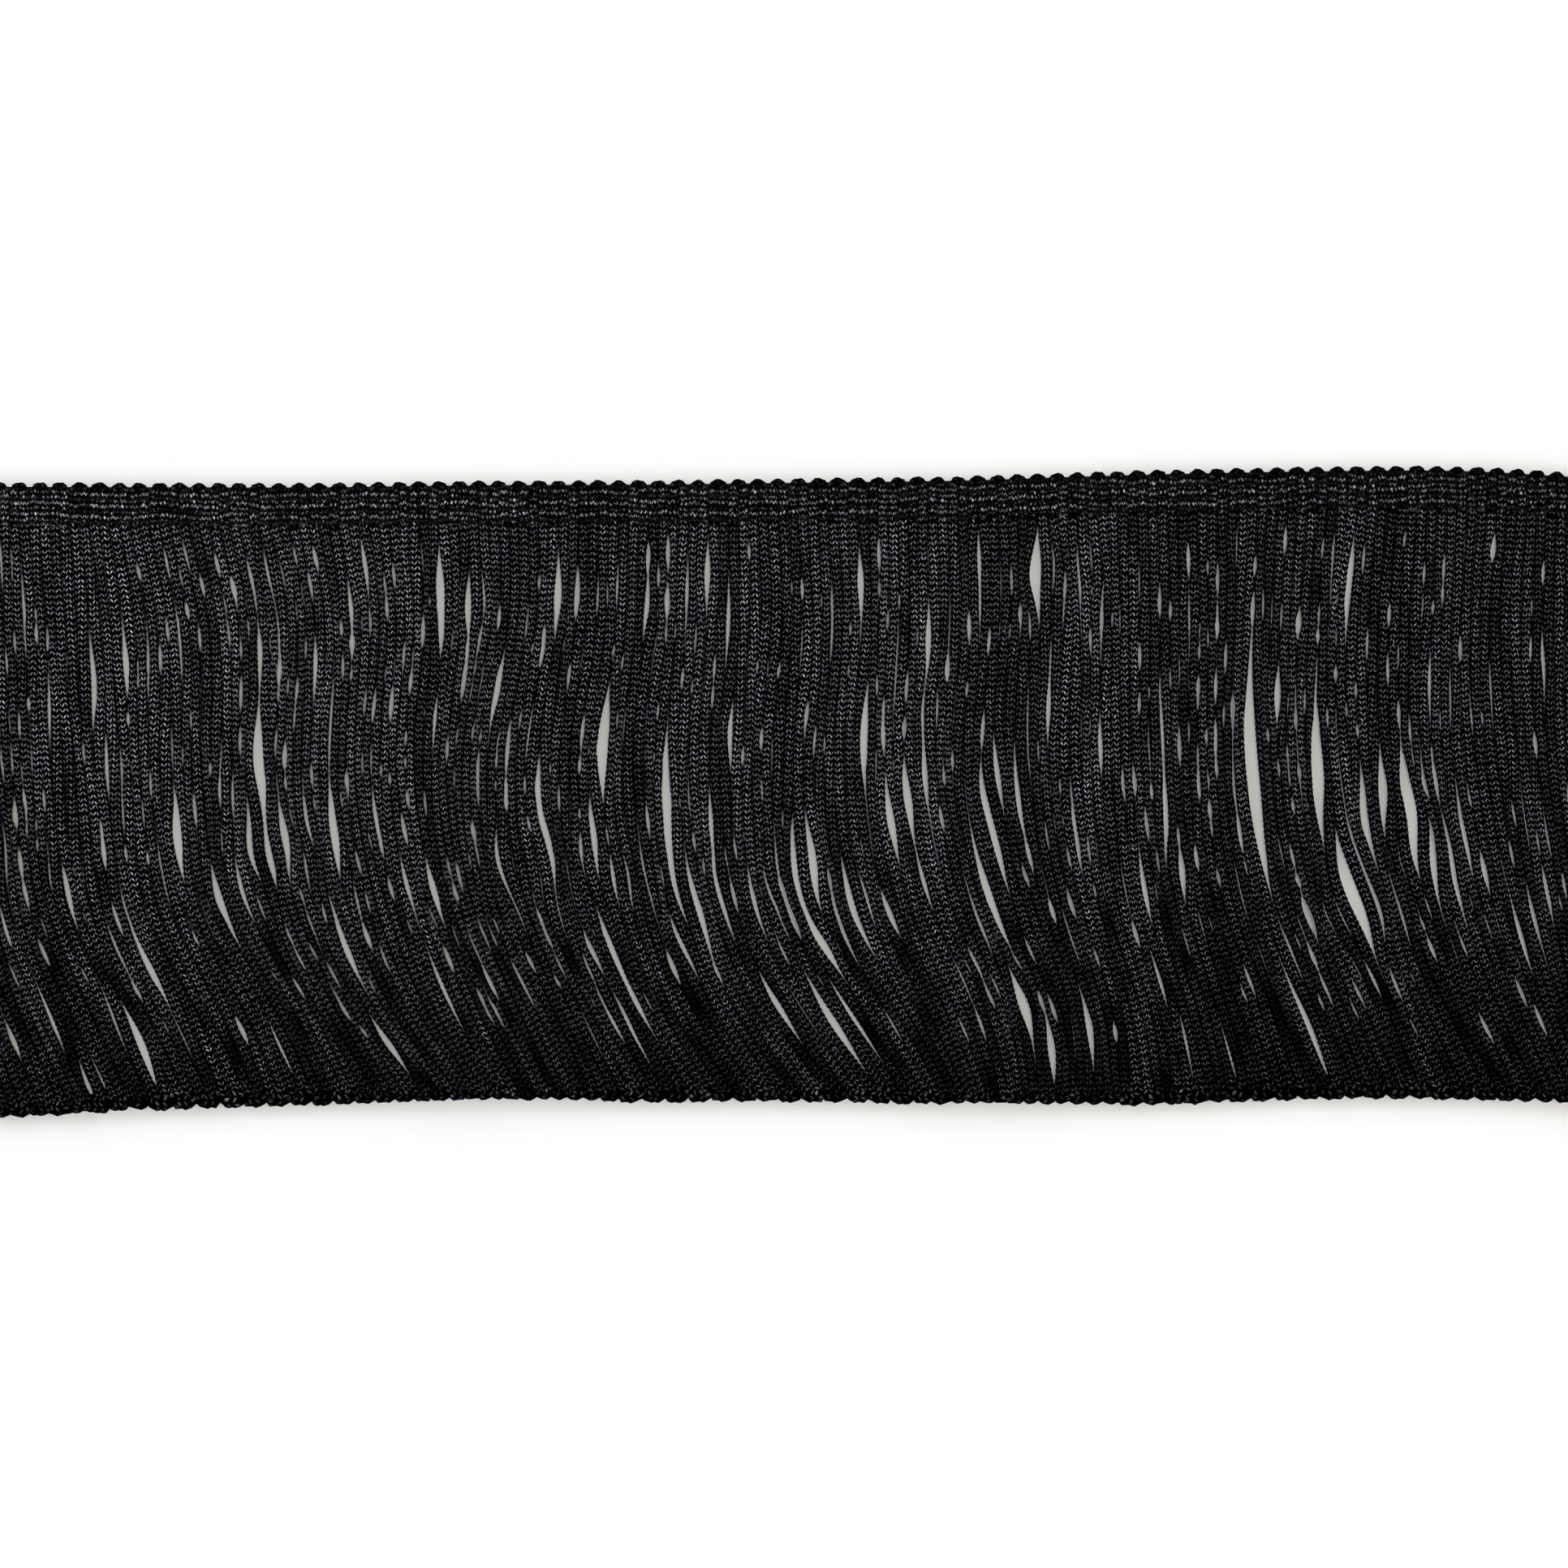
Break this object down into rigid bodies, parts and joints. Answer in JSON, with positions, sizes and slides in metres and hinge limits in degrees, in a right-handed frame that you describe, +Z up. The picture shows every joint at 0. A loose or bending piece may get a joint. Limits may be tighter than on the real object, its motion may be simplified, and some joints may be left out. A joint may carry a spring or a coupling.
{
  "type": "fringe trim",
  "caption": "Black knitted cord fringe trim: a looped heading with binding stitches and long free cords, lying flat with its tips swept to one side.",
  "frame": {"origin": "middle of the heading's flat underside: half way along the cut length and half way up the heading", "axes": "+X along the trim, +Y from the cords towards the scalloped edge, +Z up, away from the surface that the trim lies on"},
  "size_m": [0.4417, 0.1563, 0.0021],
  "materials": {
    "cord_yarn": "satin",
    "binding_yarn": "matt"
  },
  "bodies": {
    "root": {"heading": "cord_yarn", "binding_row_1": "binding_yarn", "binding_row_2": "binding_yarn", "binding_row_3": "binding_yarn", "fringe": "cord_yarn"}
  },
  "joints": []
}
